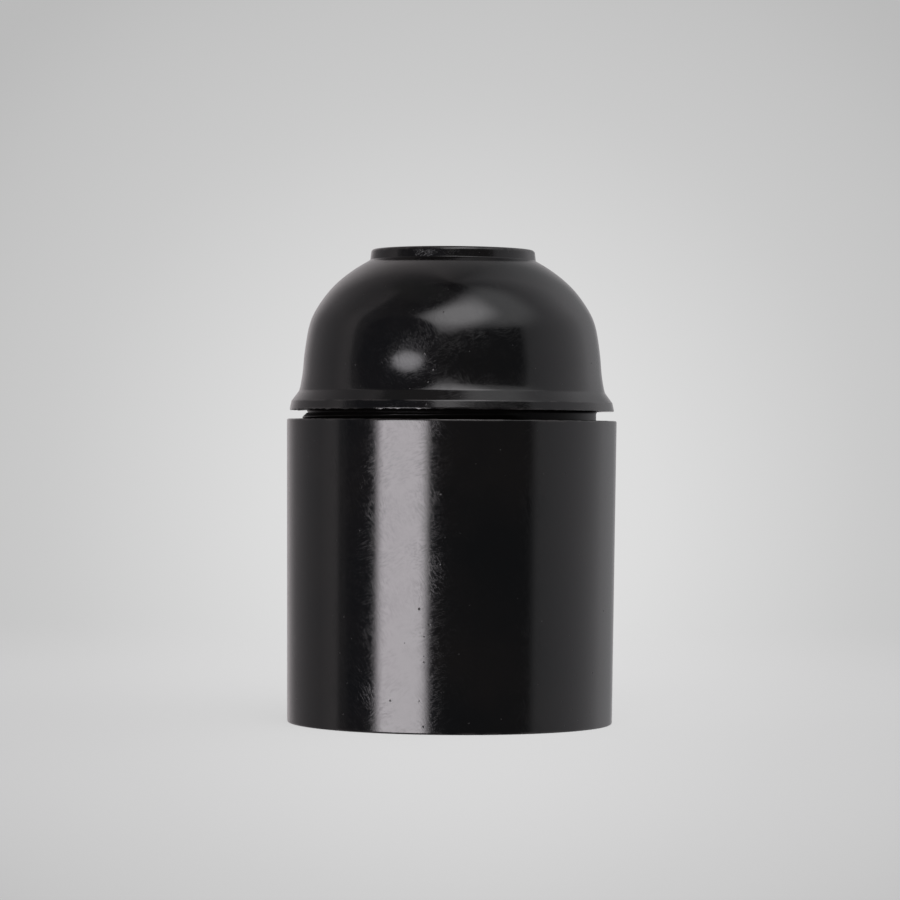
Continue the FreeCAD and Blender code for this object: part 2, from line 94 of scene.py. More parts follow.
# Turns an outline about Z. The shape function may move each vertex by its angle. The UV map is in
# metres: round the axis at the skirt's radius, and along the outline.
def turnedGrid(points, columns, shape=None, wrapRadius=20.0):
    rows = len(points)
    angle = (np.arange(columns) * 2 * math.pi / columns)[:, None]
    radius = np.repeat(points[None, :, 0], columns, 0)
    height = np.repeat(points[None, :, 1], columns, 0)
    if shape:
        radius, height = shape(angle, radius, height)
    verts = np.stack([radius * np.cos(angle), radius * np.sin(angle), height], -1).reshape(-1, 3)
    column = np.repeat(np.arange(columns), rows)
    row = np.tile(np.arange(rows), columns)
    nextColumn = (column + 1) % columns
    nextRow = (row + 1) % rows
    faces = np.stack([
        column * rows + row, nextColumn * rows + row,
        nextColumn * rows + nextRow, column * rows + nextRow,
    ], 1)
    steps = np.linalg.norm((np.roll(points, -1, 0) - points)[:, :2], axis=1)
    along = np.concatenate([[0], np.cumsum(steps)])
    step = 2 * math.pi * wrapRadius / columns
    across = np.stack([column, column + 1, column + 1, column], 1) * step
    upward = np.stack([along[row], along[row], along[row + 1], along[row + 1]], 1)
    uv = np.stack([across, upward], -1).reshape(-1, 2)
    wear = np.tile(cornerWear(points), columns)
    dull = np.tile(points[:, 2], columns)
    return verts * mm, faces.tolist(), wear, dull, uv * mm


# Upright block with a flat outline in the XY plane, bevelled along its top edge.
def blockGrid(outline, bottom, top, bevel=0.12):
    outline = np.array(outline, float)
    centre = outline.mean(0)
    widest = np.linalg.norm(outline - centre, axis=1).max()
    inner = centre + (outline - centre) * (1 - bevel / widest)
    layers = [(outline, bottom), (outline, top - bevel), (inner, top)]
    verts = np.array([(x, y, z) for ring, z in layers for x, y in ring])
    count = len(outline)
    faces = [list(range(count))[::-1], list(range(2 * count, 3 * count))]
    for layer in range(2):
        for i in range(count):
            j = (i + 1) % count
            base = layer * count
            faces.append([base + i, base + j, base + count + j, base + count + i])
    uv = np.array([(verts[v][0] + verts[v][1], verts[v][2]) for face in faces for v in face])
    return verts * mm, faces, np.zeros(len(verts)), np.ones(len(verts)), uv * mm


# Several grids as one piece. With a second material, unpolished faces get it; for the bakelite
# that copy dims their reflection as painted shade.
def meshPiece(name, grids, materials, sharpDeg=38):
    verts, _, wear, dull, uv = (list(column) for column in zip(*grids))
    faces = []
    offset = 0
    for grid in grids:
        faces += [[offset + v for v in face] for face in grid[1]]
        offset += len(grid[0])
    mesh = bpy.data.meshes.new(name)
    mesh.from_pydata(np.concatenate(verts).tolist(), [], faces)
    wrap = mesh.uv_layers.new(name="wrap")
    wrap.uv.foreach_set("vector", np.concatenate(uv).ravel().astype(np.float32))
    mesh.update()
    mesh.shade_smooth()
    mesh.set_sharp_from_angle(angle=math.radians(sharpDeg))
    for label, values in (("cornerWear", wear), ("unpolished", dull)):
        attribute = mesh.attributes.new(label, "FLOAT", "POINT")
        attribute.data.foreach_set("value", np.concatenate(values).astype(np.float32))
    for material in materials:
        mesh.materials.append(material)
    # faces that are unpolished throughout get the second material, the painted-shade copy
    if len(materials) > 1:
        rough = np.concatenate(dull)
        index = [int(min(rough[v] for v in face) > 0.5) for face in faces]
        mesh.polygons.foreach_set("material_index", np.array(index, np.int32))
    piece = bpy.data.objects.new(name, mesh)
    bpy.context.scene.collection.objects.link(piece)
    return piece


def smoothStep(low, high, value):
    t = np.clip((value - low) / (high - low), 0, 1)
    return t * t * (3 - 2 * t)


# Smooth noise round the axis, the same each run: a sum of waves with seeded phases.
def ringNoise(angle, seed, lowest, highest, count=24):
    rng = np.random.RandomState(seed)
    total = np.zeros_like(angle)
    for _ in range(count):
        waves = rng.randint(lowest, highest)
        total = total + np.sin(waves * angle + rng.uniform(0, 2 * math.pi))
    return total / math.sqrt(count / 2)


# Sets or links sockets by name or number. A pair (node, output) is linked.
def plug(tree, node, values):
    for label, value in values.items():
        socket = node.inputs[label]
        if isinstance(value, tuple) and isinstance(value[0], bpy.types.Node):
            tree.links.new(value[0].outputs[value[1]], socket)
        else:
            socket.default_value = value
    return node


def place(tree, kind, values=None, **settings):
    node = tree.nodes.new("ShaderNode" + kind)
    for label, value in settings.items():
        setattr(node, label, value)
    return plug(tree, node, values or {})


def calc(tree, operation, *values, clamp=False):
    node = place(tree, "Math", dict(enumerate(values)), operation=operation, use_clamp=clamp)
    return node, 0


def ease(tree, value, low, high, toLow=0.0, toHigh=1.0):
    node = place(tree, "MapRange", {
        "Value": value, "From Min": low, "From Max": high, "To Min": toLow, "To Max": toHigh,
    }, interpolation_type="SMOOTHSTEP")
    return node, 0


def blendColour(tree, factor, first, second, mode="MIX"):
    node = place(tree, "Mix", {0: factor, 6: first, 7: second}, data_type="RGBA", blend_type=mode)
    return node, 2


def newGroup(name, inputs, outputs):
    group = bpy.data.node_groups.new(name, "ShaderNodeTree")
    for label, kind, value in inputs:
        socket = group.interface.new_socket(
            name=label, in_out="INPUT", socket_type="NodeSocket" + kind)
        if value is not None:
            socket.default_value = value
    for label, kind in outputs:
        group.interface.new_socket(
            name=label, in_out="OUTPUT", socket_type="NodeSocket" + kind)
    return group, group.nodes.new("NodeGroupInput"), group.nodes.new("NodeGroupOutput")


def useGroup(tree, group, values):
    node = tree.nodes.new("ShaderNodeGroup")
    node.node_tree = group
    return plug(tree, node, values)


# Fine hair scratches: threshold of a noise that is drawn out one way and wanders a little.
scratchForm = {"driftScale": 160.0, "bareLevel": 0.86, "coverReach": 0.36, "softness": 0.10}


def makeScratchGroup(form):
    group, enter, leave = newGroup("fineScratches", [
        ("Vector", "Vector", None), ("Turn", "Float", 0.0), ("Length", "Float", 0.002),
        ("Width", "Float", 0.0001), ("Wander", "Float", 0.001), ("Cover", "Float", 0.5),
    ], [("Mask", "Float")])
    where = (enter, "Vector")
    drift = place(group, "TexNoise", {"Vector": where, "Scale": form["driftScale"], "Detail": 1.0})
    drift = place(group, "VectorMath", {0: (drift, "Color"), 1: (0.5, 0.5, 0.5)},
                  operation="SUBTRACT")
    drift = place(group, "VectorMath", {0: (drift, 0), "Scale": (enter, "Wander")},
                  operation="SCALE")
    moved = place(group, "VectorMath", {0: where, 1: (drift, 0)}, operation="ADD")
    turned = place(group, "VectorRotate", {"Vector": (moved, 0), "Angle": (enter, "Turn")},
                   rotation_type="Z_AXIS")
    cell = place(group, "CombineXYZ", {"X": (enter, "Length"), "Y": (enter, "Width"),
                                       "Z": (enter, "Width")})
    drawn = place(group, "VectorMath", {0: (turned, 0), 1: (cell, 0)}, operation="DIVIDE")
    lines = place(group, "TexNoise", {"Vector": (drawn, 0), "Scale": 1.0, "Detail": 0.0})
    level = calc(group, "SUBTRACT", form["bareLevel"],
                 calc(group, "MULTIPLY", (enter, "Cover"), form["coverReach"]))
    full = calc(group, "ADD", level, form["softness"])
    plug(group, leave, {"Mask": ease(group, (lines, "Fac"), level, full)})
    return group


# Small round specks, some cells only: moulding pits or dust.
speckForm = {"leastSize": 0.35, "softness": 0.45}


def makeSpeckGroup(form):
    group, enter, leave = newGroup("smallSpecks", [
        ("Vector", "Vector", None), ("Scale", "Float", 400.0), ("Radius", "Float", 0.25),
        ("Share", "Float", 0.1),
    ], [("Mask", "Float")])
    cells = place(group, "TexVoronoi", {"Vector": (enter, "Vector"), "Scale": (enter, "Scale")})
    parts = place(group, "SeparateColor", {"Color": (cells, "Color")})
    size = calc(group, "ADD", form["leastSize"], (parts, "Green"))
    limit = calc(group, "MULTIPLY", (enter, "Radius"), size)
    inside = calc(group, "SUBTRACT", 1.0, calc(group, "DIVIDE", (cells, "Distance"), limit),
                  clamp=True)
    dot = ease(group, inside, 0.0, form["softness"])
    chosen = calc(group, "LESS_THAN", (parts, "Red"), (enter, "Share"))
    plug(group, leave, {"Mask": calc(group, "MULTIPLY", dot, chosen)})
    return group


# Wear on outward corners, made uneven by a noise. The amount comes from the mesh.
edgeForm = {"detail": 3.0, "untouched": 0.38, "worn": 0.66}


def makeEdgeGroup(form):
    group, enter, leave = newGroup("rubbedEdges", [
        ("Vector", "Vector", None), ("Scale", "Float", 500.0), ("Amount", "Float", 1.0),
    ], [("Mask", "Float")])
    corner = place(group, "Attribute", attribute_name="cornerWear")
    uneven = place(group, "TexNoise", {"Vector": (enter, "Vector"), "Scale": (enter, "Scale"),
                                       "Detail": form["detail"]})
    patchy = ease(group, (uneven, "Fac"), form["untouched"], form["worn"])
    mask = calc(group, "MULTIPLY", (corner, "Fac"), patchy)
    plug(group, leave, {"Mask": calc(group, "MULTIPLY", mask, (enter, "Amount"), clamp=True)})
    return group


# Cloudy change between 0 and 1, for colour and gloss.
def makeCloudGroup():
    group, enter, leave = newGroup("cloudyTone", [
        ("Vector", "Vector", None), ("Scale", "Float", 40.0), ("Detail", "Float", 3.0),
        ("Low", "Float", 0.35), ("High", "Float", 0.65),
    ], [("Mask", "Float")])
    cloud = place(group, "TexNoise", {"Vector": (enter, "Vector"), "Scale": (enter, "Scale"),
                                      "Detail": (enter, "Detail")})
    plug(group, leave, {"Mask": ease(group, (cloud, "Fac"), (enter, "Low"), (enter, "High"))})
    return group


scratches = makeScratchGroup(scratchForm)
specks = makeSpeckGroup(speckForm)
rubbedEdges = makeEdgeGroup(edgeForm)
cloudyTone = makeCloudGroup()
print("shared effects ready")


def newMaterial(name, byWrap=False):
    material = bpy.data.materials.new(name)
    material.use_nodes = True
    tree = material.node_tree
    tree.nodes.clear()
    surface = place(tree, "BsdfPrincipled")
    output = place(tree, "OutputMaterial")
    tree.links.new(surface.outputs["BSDF"], output.inputs["Surface"])
    coords = place(tree, "UVMap", uv_map="wrap") if byWrap else place(tree, "TexCoord")
    return material, tree, surface, (coords, "UV" if byWrap else "Object")


# Black phenolic moulding: polished outside, with hair scratches from wiping, small pits, hazy
# patches and rubbed corners; dull where the mould was never polished. Entries that end in Form
# are the values of an effect. The unpolished faces lie in the slit and the hollows, and their
# copy of the material has its reflection turned almost off: painted shade there.
bakeliteLook = {
    "deepBlack": (0.0018, 0.0017, 0.0020, 1), "brownBlack": (0.0046, 0.0036, 0.0034, 1),
    "rawBlack": (0.004, 0.0036, 0.0034, 1), "rubbed": (0.060, 0.055, 0.053, 1),
    "dusty": (0.20, 0.19, 0.18, 1), "dustShare": 0.2,
    "gloss": 0.085, "haze": 0.12, "scratchDull": 0.19, "pitDull": 0.50, "rawDull": 0.30,
    "peelScale": 900.0, "peelDetail": 2.0, "peelDepth": 0.10, "scratchDepth": 0.20,
    "pitDepth": 1.2, "depthUnit": 0.000008, "refraction": 1.60, "shine": 0.5,
    "toneForm": {"Scale": 70.0, "Low": 0.35, "High": 0.70},
    "hazeForm": {"Scale": 800.0, "Detail": 4.0, "Low": 0.38, "High": 0.64},
    "rubForm": {"Scale": 420.0, "Amount": 0.45},
    "wipedForm": {"Turn": 0.95, "Length": 0.0011, "Width": 0.000085, "Wander": 0.0022,
                  "Cover": 0.88},
    "crossedForm": {"Turn": -0.45, "Length": 0.0009, "Width": 0.000075, "Wander": 0.002,
                    "Cover": 0.80},
    "shareForm": {"Scale": 190.0, "Low": 0.42, "High": 0.58},
    "pitForm": {"Scale": 1700.0, "Radius": 0.22, "Share": 0.035},
    "dustForm": {"Scale": 2300.0, "Radius": 0.18, "Share": 0.005},
}
# Copy for the unpolished faces in the slit between cap and skirt and in the hollows: besides their
# real dull finish, its shine of 0.08 turns their reflection almost off as painted shade.
rawLookWithPaintedShade = {**bakeliteLook, "shine": 0.08}


def makeBakelite(name, look):
    material, tree, surface, where = newMaterial(name, byWrap=True)
    raw = place(tree, "Attribute", attribute_name="unpolished")
    tone = useGroup(tree, cloudyTone, {"Vector": where, **look["toneForm"]})
    colour = blendColour(tree, (tone, 0), look["deepBlack"], look["brownBlack"])
    colour = blendColour(tree, (raw, "Fac"), colour, look["rawBlack"])
    rub = useGroup(tree, rubbedEdges, {"Vector": where, **look["rubForm"]})
    colour = blendColour(tree, (rub, 0), colour, look["rubbed"])
    wiped = useGroup(tree, scratches, {"Vector": where, **look["wipedForm"]})
    crossed = useGroup(tree, scratches, {"Vector": where, **look["crossedForm"]})
    share = useGroup(tree, cloudyTone, {"Vector": where, **look["shareForm"]})
    lines = blendColour(tree, (share, 0), (wiped, 0), (crossed, 0))
    pits = useGroup(tree, specks, {"Vector": where, **look["pitForm"]})
    dust = useGroup(tree, specks, {"Vector": where, **look["dustForm"]})
    powder = calc(tree, "MULTIPLY", (dust, 0), look["dustShare"])
    colour = blendColour(tree, powder, colour, look["dusty"])
    haze = useGroup(tree, cloudyTone, {"Vector": where, **look["hazeForm"]})
    rough = ease(tree, (haze, 0), 0.0, 1.0, look["gloss"], look["haze"])
    for mask, dull in ((lines, "scratchDull"), ((rub, 0), "pitDull"), ((pits, 0), "pitDull"),
                       ((raw, "Fac"), "rawDull")):
        rough = calc(tree, "MAXIMUM", rough, calc(tree, "MULTIPLY", mask, look[dull]))
    peel = place(tree, "TexNoise", {"Vector": where, "Scale": look["peelScale"],
                                    "Detail": look["peelDetail"]})
    height = calc(tree, "MULTIPLY", (peel, "Fac"), look["peelDepth"])
    for mask, depth in ((lines, "scratchDepth"), ((pits, 0), "pitDepth")):
        height = calc(tree, "SUBTRACT", height, calc(tree, "MULTIPLY", mask, look[depth]))
    bump = place(tree, "Bump", {"Height": height, "Distance": look["depthUnit"], "Strength": 1.0})
    plug(tree, surface, {"Base Color": colour, "Roughness": rough, "IOR": look["refraction"],
                         "Normal": (bump, 0), "Specular IOR Level": look["shine"]})
    return material


# Sheet and turned metals: streaks along the rolling or turning direction, tarnish, handling marks.
metalLook = {
    "grainDetail": 4.0, "grainShare": 0.25, "grainDepth": 0.5, "scratchDepth": 0.4,
    "depthUnit": 0.00002, "depthShare": 0.6,
    "stainForm": {"Detail": 5.0, "Low": 0.42, "High": 0.72},
    "lineForm": {"Turn": 0.7, "Length": 0.0018, "Width": 0.00008, "Wander": 0.002, "Cover": 0.55},
    "rubForm": {"Scale": 900.0, "Amount": 0.6},
}


def makeMetal(name, own):
    look = {**metalLook, **own}
    material, tree, surface, where = newMaterial(name, look.get("byWrap", False))
    streak = place(tree, "Mapping", {"Vector": where, "Scale": look["streakStretch"]})
    grain = place(tree, "TexNoise", {"Vector": (streak, 0), "Scale": look["streakScale"],
                                     "Detail": look["grainDetail"]})
    stain = useGroup(tree, cloudyTone, {"Vector": where, "Scale": look["stainScale"],
                                        **look["stainForm"]})
    tarnish = calc(tree, "MULTIPLY", (stain, 0), look["stainShare"])
    colour = blendColour(tree, tarnish, look["bright"], look["stained"])
    streaks = calc(tree, "MULTIPLY", (grain, "Fac"), look["grainShare"])
    colour = blendColour(tree, streaks, colour, look["stained"])
    lines = useGroup(tree, scratches, {"Vector": where, **look["lineForm"]})
    rub = useGroup(tree, rubbedEdges, {"Vector": where, **look["rubForm"]})
    colour = blendColour(tree, (rub, 0), colour, look["bright"])
    rough = calc(tree, "ADD", look["gloss"],
                 calc(tree, "MULTIPLY", (grain, "Fac"), look["grainDull"]))
    rough = calc(tree, "ADD", rough, calc(tree, "MULTIPLY", (stain, 0), look["stainDull"]))
    height = calc(tree, "SUBTRACT", calc(tree, "MULTIPLY", (grain, "Fac"), look["grainDepth"]),
                  calc(tree, "MULTIPLY", (lines, 0), look["scratchDepth"]))
    bump = place(tree, "Bump", {"Height": height, "Distance": look["depthUnit"],
                                "Strength": look["depthShare"]})
    plug(tree, surface, {"Base Color": colour, "Metallic": 1.0, "Roughness": rough,
                         "Normal": (bump, 0)})
    return material


metalLooks = {
    "rolledBrass": {
        "bright": (0.76, 0.58, 0.29, 1), "stained": (0.42, 0.27, 0.12, 1), "gloss": 0.20,
        "grainDull": 0.16, "stainDull": 0.16, "stainShare": 0.55, "stainScale": 110.0,
        "streakScale": 1400.0, "streakStretch": (0.05, 1.0, 1.0), "byWrap": True,
    },
    "springBronze": {
        "bright": (0.78, 0.52, 0.32, 1), "stained": (0.45, 0.24, 0.13, 1), "gloss": 0.24,
        "grainDull": 0.2, "stainDull": 0.15, "stainShare": 0.45, "stainScale": 200.0,
        "streakScale": 1200.0, "streakStretch": (1.0, 0.2, 1.0),
    },
    "stampedBrass": {
        "bright": (0.80, 0.63, 0.33, 1), "stained": (0.48, 0.33, 0.15, 1), "gloss": 0.26,
        "grainDull": 0.2, "stainDull": 0.15, "stainShare": 0.4, "stainScale": 220.0,
        "streakScale": 1400.0, "streakStretch": (1.0, 0.15, 1.0),
    },
    "tappedSteel": {
        "bright": (0.62, 0.62, 0.60, 1), "stained": (0.34, 0.31, 0.27, 1), "gloss": 0.28,
        "grainDull": 0.2, "stainDull": 0.2, "stainShare": 0.6, "stainScale": 240.0,
        "streakScale": 1600.0, "streakStretch": (0.06, 1.0, 1.0), "byWrap": True,
    },
    "zincSteel": {
        "bright": (0.66, 0.66, 0.64, 1), "stained": (0.40, 0.38, 0.35, 1), "gloss": 0.26,
        "grainDull": 0.22, "stainDull": 0.2, "stainShare": 0.5, "stainScale": 260.0,
        "streakScale": 1500.0, "streakStretch": (0.3, 0.3, 1.0),
    },
}


# Fired insulator body: warm white, fine iron specks, faint cloudiness, matt skin.
steatiteLook = {
    "body": (0.78, 0.745, 0.67, 1), "shade": (0.66, 0.61, 0.52, 1), "speck": (0.28, 0.20, 0.14, 1),
    "shadeShare": 0.5, "speckShare": 0.7, "gloss": 0.42, "matt": 0.62, "refraction": 1.55,
    "skinScale": 1800.0, "skinDetail": 3.0, "skinDepth": 0.00004, "depthShare": 0.5,
    "cloudForm": {"Scale": 120.0, "Detail": 4.0, "Low": 0.35, "High": 0.7},
    "ironForm": {"Scale": 1300.0, "Radius": 0.22, "Share": 0.06},
}


def makeSteatite(look):
    material, tree, surface, where = newMaterial("firedSteatite")
    cloud = useGroup(tree, cloudyTone, {"Vector": where, **look["cloudForm"]})
    shade = calc(tree, "MULTIPLY", (cloud, 0), look["shadeShare"])
    colour = blendColour(tree, shade, look["body"], look["shade"])
    iron = useGroup(tree, specks, {"Vector": where, **look["ironForm"]})
    colour = blendColour(tree, calc(tree, "MULTIPLY", (iron, 0), look["speckShare"]), colour,
                         look["speck"])
    skin = place(tree, "TexNoise", {"Vector": where, "Scale": look["skinScale"],
                                    "Detail": look["skinDetail"]})
    rough = ease(tree, (skin, "Fac"), 0.2, 0.8, look["gloss"], look["matt"])
    bump = place(tree, "Bump", {"Height": (skin, "Fac"), "Distance": look["skinDepth"],
                                "Strength": look["depthShare"]})
    plug(tree, surface, {"Base Color": colour, "Roughness": rough, "IOR": look["refraction"],
                         "Normal": (bump, 0)})
    return material


bakelite = [makeBakelite("blackBakelite", bakeliteLook), makeBakelite("rawBakeliteWithPaintedShade", rawLookWithPaintedShade)]
metals = {name: makeMetal(name, look) for name, look in metalLooks.items()}
steatite = makeSteatite(steatiteLook)
print("materials ready")


# The joint thread that both mouldings share, in mm.
joint = {"pitch": 1.5, "root": 17.5, "depth": 0.62, "crest": 0.12, "flankDeg": 45.5, "gap": 0.15,
         "endHeight": 37.35, "endDeg": 300, "runOutDeg": 18, "shoulder": 31.4, "softness": 0.12}


# Height above the root, 0 to 1, of a rounded ridge that climbs with the angle.
def ridgeForm(angle, height, grow):
    zero = joint["endHeight"] - joint["pitch"] * joint["endDeg"] / 360
    phase = zero + joint["pitch"] * angle / (2 * math.pi)
    turn = np.round((height - phase) / joint["pitch"])
    centre = phase + turn * joint["pitch"]
    slope = math.tan(math.radians(joint["flankDeg"]))
    halfCrest = joint["crest"] / 2 + grow
    rise = 1 - (np.abs(height - centre) - halfCrest) / (joint["depth"] * slope)
    rise = np.clip(rise, 0, 1)
    soft = joint["softness"]
    return (1 - soft) * rise + soft * rise * rise * (3 - 2 * rise), centre


# Outline of a key or lug that stands on the wall of a bore, on the side of +Y or -Y.
def tabOutline(half, inner, outer, side=1):
    corners = [(-half, inner), (half, inner), (half, outer), (-half, outer)]
    return [(x, side * y) for x, y in corners][::side]


touching = 1e-6  # radii closer than this are the same
tabRoot = 0.1  # how far a key or lug reaches into its wall

# Domed cap.
cap = {
    "neckBore": 15.5, "neckEdge": 0.3, "neckCove": 0.4, "neckMargin": 0.02, "threadLead": 0.5,
    "threadRow": 0.075,
    "rimBottom": 37.84, "rimRadius": 19.68, "rimTopRadius": 19.47, "rimFaceTop": 38.85,
    "rimRound": 0.10, "bevelRound": 0.35, "coveRadius": 18.55, "coveHeight": 40.10,
    "coveRound": 0.6,
    "bellRadii": (18.42, 18.21, 18.075, 17.98, 17.805, 17.55, 17.035, 15.893, 14.24, 12.31,
                  11.26, 10.31),
    "bellHeights": (40.6, 41.8, 43.0, 44.2, 45.6, 47.2, 49.0, 51.0, 53.0, 54.6, 55.3, 55.85),
    "bellRows": 76,
    "collarRadius": 10.05, "collarTopRadius": 9.9, "collarRound": 0.4, "collarFoot": 56.029,
    "collarFootRound": 0.12, "collarTop": 57.309,
    "bossRadius": 8.8, "bossBottom": 49.109, "bushRadius": 6.5, "bushRound": 0.08,
    "waist": 45.0, "roofHeight": 10.9, "roofSteps": 18,
    "boreRound": 0.1, "bushFootRound": 0.05, "bossRound": 0.2, "roofRound": 0.5,
    "keyHalf": 1.5, "keyInner": 14.2, "keyBottom": 32.0, "keyTop": 43.0, "columns": 288,
    "flashDepth": 0.09, "flashWaves": ((5, 20, 120, 0.5), (8, 60, 143, 0.35)), "flashMost": 1.2,
    "flashLeast": 0.25, "flashFrom": -0.2, "flashTo": 0.9, "flashTurn": 0.5,
    "flashBand": 0.25, "flashRise": 0.1,
}


# Natural cubic curve through (at, values), read at other places.
def smoothCurve(at, values, where):
    at, values = np.array(at), np.array(values)
    gaps = np.diff(at)
    slopes = np.diff(values) / gaps
    bends = np.zeros(len(at))
    system = np.diag(2 * (gaps[:-1] + gaps[1:])) + np.diag(gaps[1:-1], 1) + np.diag(gaps[1:-1], -1)
    bends[1:-1] = np.linalg.solve(system, 6 * np.diff(slopes))
    i = np.clip(np.searchsorted(at, where) - 1, 0, len(at) - 2)
    ahead, back, gap = at[i + 1] - where, where - at[i], gaps[i]
    bowed = (bends[i] * ahead ** 3 + bends[i + 1] * back ** 3) / (6 * gap)
    return bowed + (values[i] / gap - bends[i] * gap / 6) * ahead \
        + (values[i + 1] / gap - bends[i + 1] * gap / 6) * back


def capOutline(c):
    root, shoulder = joint["root"], joint["shoulder"]
    neckBottom = shoulder + c["neckEdge"]
    neckTop = c["rimBottom"] - c["neckCove"] - c["neckMargin"]
    corners = [(c["neckBore"], shoulder, c["boreRound"], 1),
               (root - c["neckEdge"], shoulder, 0, 1), (root, neckBottom, 0, 1)]
    corners += [(root, z, 0, 1) for z in np.arange(neckBottom + c["neckMargin"], neckTop,
                                                   c["threadRow"])]
    corners += [(root, c["rimBottom"], c["neckCove"], 1),
                (c["rimRadius"], c["rimBottom"], c["rimRound"]),
                (c["rimTopRadius"], c["rimFaceTop"], c["bevelRound"]),
                (c["coveRadius"], c["coveHeight"], c["coveRound"])]
    low, high = c["bellHeights"][0], c["bellHeights"][-1]
    heights = low + (high - low) * np.sin(np.linspace(0, 1, c["bellRows"]) * math.pi / 2)
    corners += list(zip(smoothCurve(c["bellHeights"], c["bellRadii"], heights), heights))
    corners += [(c["collarRadius"], c["collarFoot"], c["collarFootRound"]),
                (c["collarTopRadius"], c["collarTop"], c["collarRound"]),
                (c["bushRadius"], c["collarTop"], c["bushRound"]),
                (c["bushRadius"], c["bossBottom"], c["bushFootRound"], 1),
                (c["bossRadius"], c["bossBottom"], c["bossRound"], 1)]
    # the hollow's roof is half an ellipse, from the boss to the bore
    for k in range(c["roofSteps"] + 1):
        radius = c["bossRadius"] + (c["neckBore"] - c["bossRadius"]) \
            * math.sin(math.pi / 2 * k / c["roofSteps"])
        rise = math.sqrt(max(0, 1 - (radius / c["neckBore"]) ** 2))
        rounding = 0 if k else c["roofRound"]
        corners.append((radius, c["waist"] + c["roofHeight"] * rise, rounding, 1))
    return roundedOutline(corners)


def capShape(angle, radius, height):
    root = joint["root"]
    onNeck = (np.abs(radius - root) < touching) & (height < cap["rimBottom"] - cap["neckCove"])
    rise, centre = ridgeForm(angle, height, 0.0)
    runOut = smoothStep(0, joint["pitch"] * joint["runOutDeg"] / 360, joint["endHeight"] - centre)
    ridge = root + joint["depth"] * rise * runOut
    lead = root + joint["depth"] - cap["threadLead"] + height - joint["shoulder"]
    radius = np.where(onNeck, np.maximum(root, np.minimum(ridge, lead)), radius)
    # torn moulding flash along the rim's lower edge, heaviest on the left
    leftness = smoothStep(cap["flashFrom"], cap["flashTo"], -np.cos(angle - cap["flashTurn"]))
    torn = sum(ringNoise(angle, *waves) * share for *waves, share in cap["flashWaves"])
    torn = np.clip(torn, 0, cap["flashMost"])
    onEdge = (radius > cap["rimRadius"] - cap["flashBand"]) \
        & (height < cap["rimBottom"] + cap["flashRise"])
    flash = cap["flashDepth"] * torn * (cap["flashLeast"] + leftness)
    return radius, np.where(onEdge, height - flash, height)


keyOutline = tabOutline(cap["keyHalf"], cap["keyInner"], cap["neckBore"] + tabRoot)
domedCap = meshPiece("domedCap", [
    turnedGrid(capOutline(cap), cap["columns"], capShape),
    blockGrid(keyOutline, cap["keyBottom"], cap["keyTop"]),
], bakelite)
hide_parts("dome_cap")
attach(domedCap, "dome")
print("cap ready")


# Skirt.
skirt = {
    "topRadius": 20.0, "mouthRadius": 19.70, "top": 36.7, "mouthWall": 2.3, "cavityTop": 17.175,
    "ledgeBottom": 21.8, "ledgeTop": 24.8, "ledgeHole": 14.0, "bore": 17.1, "threadFloor": 31.0,
    "threadEase": 0.3, "edgeRound": 0.2, "ledgeFillet": 0.8, "ledgeDull": 0.6, "threadRow": 0.08,
    "columns": 288, "lugHalf": 1.5, "lugInner": 14.6, "lugTop": 25.15, "lugBevel": 0.08,
    "entryRound": 0.05, "ledgeRound": 0.1, "threadMargin": 0.04, "floorMargin": 0.01,
    "flashDepth": 0.05, "flashWaves": (11, 25, 143), "flashShare": 0.55, "flashMost": 1.2,
    "flashInner": 0.9, "flashOuter": 0.05, "flashDrop": 0.08,
}


def skirtOutline(s):
    minor = joint["root"] + joint["gap"]
    entry = joint["root"] + joint["depth"]
    cavityMouth = s["mouthRadius"] - s["mouthWall"]
    rows = np.arange(s["top"] - s["threadMargin"], s["threadFloor"], -s["threadRow"])
    corners = [(cavityMouth, 0, s["edgeRound"]), (s["mouthRadius"], 0, s["edgeRound"]),
               (s["topRadius"], s["top"], s["edgeRound"]), (entry, s["top"], s["entryRound"], 1)]
    corners += [(minor, z, 0, 1) for z in rows]
    corners += [(minor, s["threadFloor"], 0, 1),
                (s["bore"], s["threadFloor"], s["entryRound"], 1),
                (s["bore"], s["ledgeTop"], s["ledgeRound"], 1),
                (s["ledgeHole"], s["ledgeTop"], s["ledgeRound"], 1),
                (s["ledgeHole"], s["ledgeBottom"], s["edgeRound"], 1),
                (s["cavityTop"], s["ledgeBottom"], s["ledgeFillet"], s["ledgeDull"])]
    return roundedOutline(corners)


def skirtShape(angle, radius, height):
    s = skirt
    minor = joint["root"] + joint["gap"]
    aboveFloor = height > s["threadFloor"] + s["floorMargin"]
    inThread = (np.abs(radius - minor) < touching) & aboveFloor
    rise, centre = ridgeForm(angle, height, joint["gap"])
    entry = joint["root"] + joint["depth"] - (s["top"] - height)
    begun = smoothStep(s["threadFloor"], s["threadFloor"] + s["threadEase"], height)
    groove = minor + joint["depth"] * rise * begun
    radius = np.where(inThread, np.maximum(groove, entry), radius)
    # torn flash on the upper edge
    torn = np.clip(ringNoise(angle, *s["flashWaves"]) * s["flashShare"], 0, s["flashMost"])
    inner, outer = s["topRadius"] - s["flashInner"], s["topRadius"] - s["flashOuter"]
    onTop = (radius > inner) & (radius < outer)
    onEdge = onTop & (height > s["top"] - s["flashDrop"])
    return radius, np.where(onEdge, height - s["flashDepth"] * torn, height)


lugs = [blockGrid(tabOutline(skirt["lugHalf"], skirt["lugInner"], skirt["bore"] + tabRoot, side),
                  skirt["ledgeTop"] - tabRoot, skirt["lugTop"], skirt["lugBevel"])
        for side in (1, -1)]
skirtBody = meshPiece("skirtBody", [
    turnedGrid(skirtOutline(skirt), skirt["columns"], skirtShape), *lugs,
], bakelite)
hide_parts("skirt")
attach(skirtBody, "skirt")
print("skirt ready")


